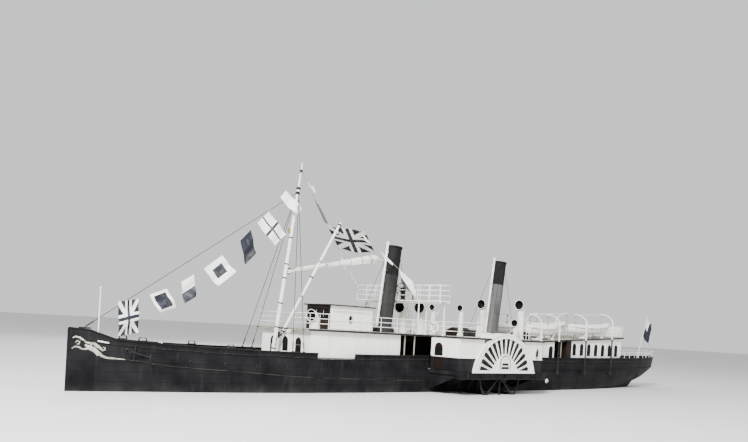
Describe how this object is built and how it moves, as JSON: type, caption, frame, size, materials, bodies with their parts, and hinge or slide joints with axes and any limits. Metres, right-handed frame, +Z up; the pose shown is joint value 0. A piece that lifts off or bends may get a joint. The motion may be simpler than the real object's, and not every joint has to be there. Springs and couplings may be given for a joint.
{
  "type": "half-size scale model of a two-funnel paddle steamer",
  "caption": "Long black-hulled paddle steamer with white deckhouses, slotted paddle boxes, raked funnels, open bridge, mast with derrick and signal flags.",
  "frame": {"origin": "at the waterline on the centreline, below the paddle shaft", "axes": "+X to the bow, +Y to port, +Z up"},
  "size_m": [32.22, 6.75, 8.9316],
  "materials": {
    "black": "semi-gloss black paint on plating",
    "white": "white gloss paint on wood and plating",
    "deck": "scrubbed, tarred planks",
    "grey": "weathered grey paint",
    "varnish": "varnished spars and doors",
    "iron": "tarred and oiled iron",
    "cloth": "white bunting and canvas",
    "dark": "dark bunting"
  },
  "bodies": {
    "vessel": {"hull": "black", "main_deck": "deck", "bulwark_fore": "black", "bulwark_aft": "black", "sponson_port": "black", "sponson_starboard": "black", "paddle_box_port": "white", "paddle_box_starboard": "white", "promenade_deck": "deck", "fore_saloon": "white", "machinery_casing": "white", "engine_block": "iron", "aft_entrance_house": "white", "aft_saloon": "white", "sponson_house_fore_port": "white", "sponson_house_fore_starboard": "white", "sponson_house_aft_port": "white", "sponson_house_aft_starboard": "white", "funnel_fore": "grey", "funnel_aft": "grey", "charthouse": "white", "bridge": "white", "cowl_large_fore_port": "white", "cowl_large_fore_starboard": "white", "cowl_small_fore_port": "white", "cowl_small_fore_starboard": "white", "cowl_large_aft_port": "white", "cowl_large_aft_starboard": "white", "cowl_charthouse": "white", "cowl_low_aft": "white", "mast": "varnish", "standing_rigging": "iron", "dressing_lines": "cloth", "promenade_rail_fore": "white", "promenade_rail_middle_port": "white", "promenade_rail_middle_starboard": "white", "promenade_rail_aft": "white", "stern_rail": "white", "lifeboat_fore_port": "white", "lifeboat_fore_starboard": "white", "davits_fore_port": "white", "davits_fore_starboard": "white", "lifeboat_aft_port": "white", "lifeboat_aft_starboard": "white", "davits_aft_port": "white", "davits_aft_starboard": "white", "ensign": "dark", "windlass": "iron"},
    "wheels": {"paddle_wheels": "iron"},
    "rudder": {"rudder": "black"},
    "derrick_heel": {"derrick_gooseneck": "iron"},
    "derrick": {"derrick": "varnish"},
    "sail_boom": {"sail_boom": "cloth"},
    "fore_saloon_door_port": {"fore_saloon_door_port": "varnish"},
    "fore_saloon_door_starboard": {"fore_saloon_door_starboard": "varnish"},
    "aft_entrance_door_port": {"aft_entrance_door_port": "varnish"},
    "aft_entrance_door_starboard": {"aft_entrance_door_starboard": "varnish"},
    "sponson_door_port": {"sponson_door_port": "varnish"},
    "sponson_door_starboard": {"sponson_door_starboard": "varnish"},
    "charthouse_door": {"charthouse_door": "varnish"}
  },
  "joints": [
    {"name": "paddle_shaft", "type": "hinge", "parent": "vessel", "child": "wheels", "pos_m": [0, 0, 0.75], "axis": [0, 1, 0], "continuous": true},
    {"name": "rudder_stock", "type": "hinge", "parent": "vessel", "child": "rudder", "pos_m": [-13.725, 0, -0.25], "axis": [0, 0, 1], "range_deg": [-35, 35]},
    {"name": "derrick_slew", "type": "hinge", "parent": "vessel", "child": "derrick_heel", "pos_m": [8.32041, 0, 1.90362], "axis": [0, 0, -1], "range_deg": [0, 45]},
    {"name": "derrick_luff", "type": "hinge", "parent": "derrick_heel", "child": "derrick", "pos_m": [8.24314, 0.02071, 1.90362], "axis": [0.2588, 0.9659, 0], "range_deg": [-8, 10]},
    {"name": "sail_boom_swing", "type": "hinge", "parent": "vessel", "child": "sail_boom", "pos_m": [8.01999, 0, 4.16309], "axis": [0, 0, 1], "range_deg": [0, 18]},
    {"name": "fore_saloon_door_port_hinge", "type": "hinge", "parent": "vessel", "child": "fore_saloon_door_port", "pos_m": [8.025, 0.9547, 1.4], "axis": [0, 0, 1], "range_deg": [0, 100]},
    {"name": "aft_entrance_door_port_hinge", "type": "hinge", "parent": "vessel", "child": "aft_entrance_door_port", "pos_m": [-5.0853, 1.555, 1.45], "axis": [0, 0, 1], "range_deg": [0, 85]},
    {"name": "sponson_door_port_hinge", "type": "hinge", "parent": "vessel", "child": "sponson_door_port", "pos_m": [2.515, 2.0003, 1.45], "axis": [0, 0, 1], "range_deg": [0, 85]},
    {"name": "fore_saloon_door_starboard_hinge", "type": "hinge", "parent": "vessel", "child": "fore_saloon_door_starboard", "pos_m": [8.025, -0.9547, 1.4], "axis": [0, 0, -1], "range_deg": [0, 100]},
    {"name": "aft_entrance_door_starboard_hinge", "type": "hinge", "parent": "vessel", "child": "aft_entrance_door_starboard", "pos_m": [-5.0853, -1.555, 1.45], "axis": [0, 0, -1], "range_deg": [0, 85]},
    {"name": "sponson_door_starboard_hinge", "type": "hinge", "parent": "vessel", "child": "sponson_door_starboard", "pos_m": [2.515, -2.0003, 1.45], "axis": [0, 0, -1], "range_deg": [0, 85]},
    {"name": "charthouse_door_hinge", "type": "hinge", "parent": "vessel", "child": "charthouse_door", "pos_m": [4.65, 0.1647, 2.6], "axis": [0, 0, -1], "range_deg": [0, 100]}
  ]
}
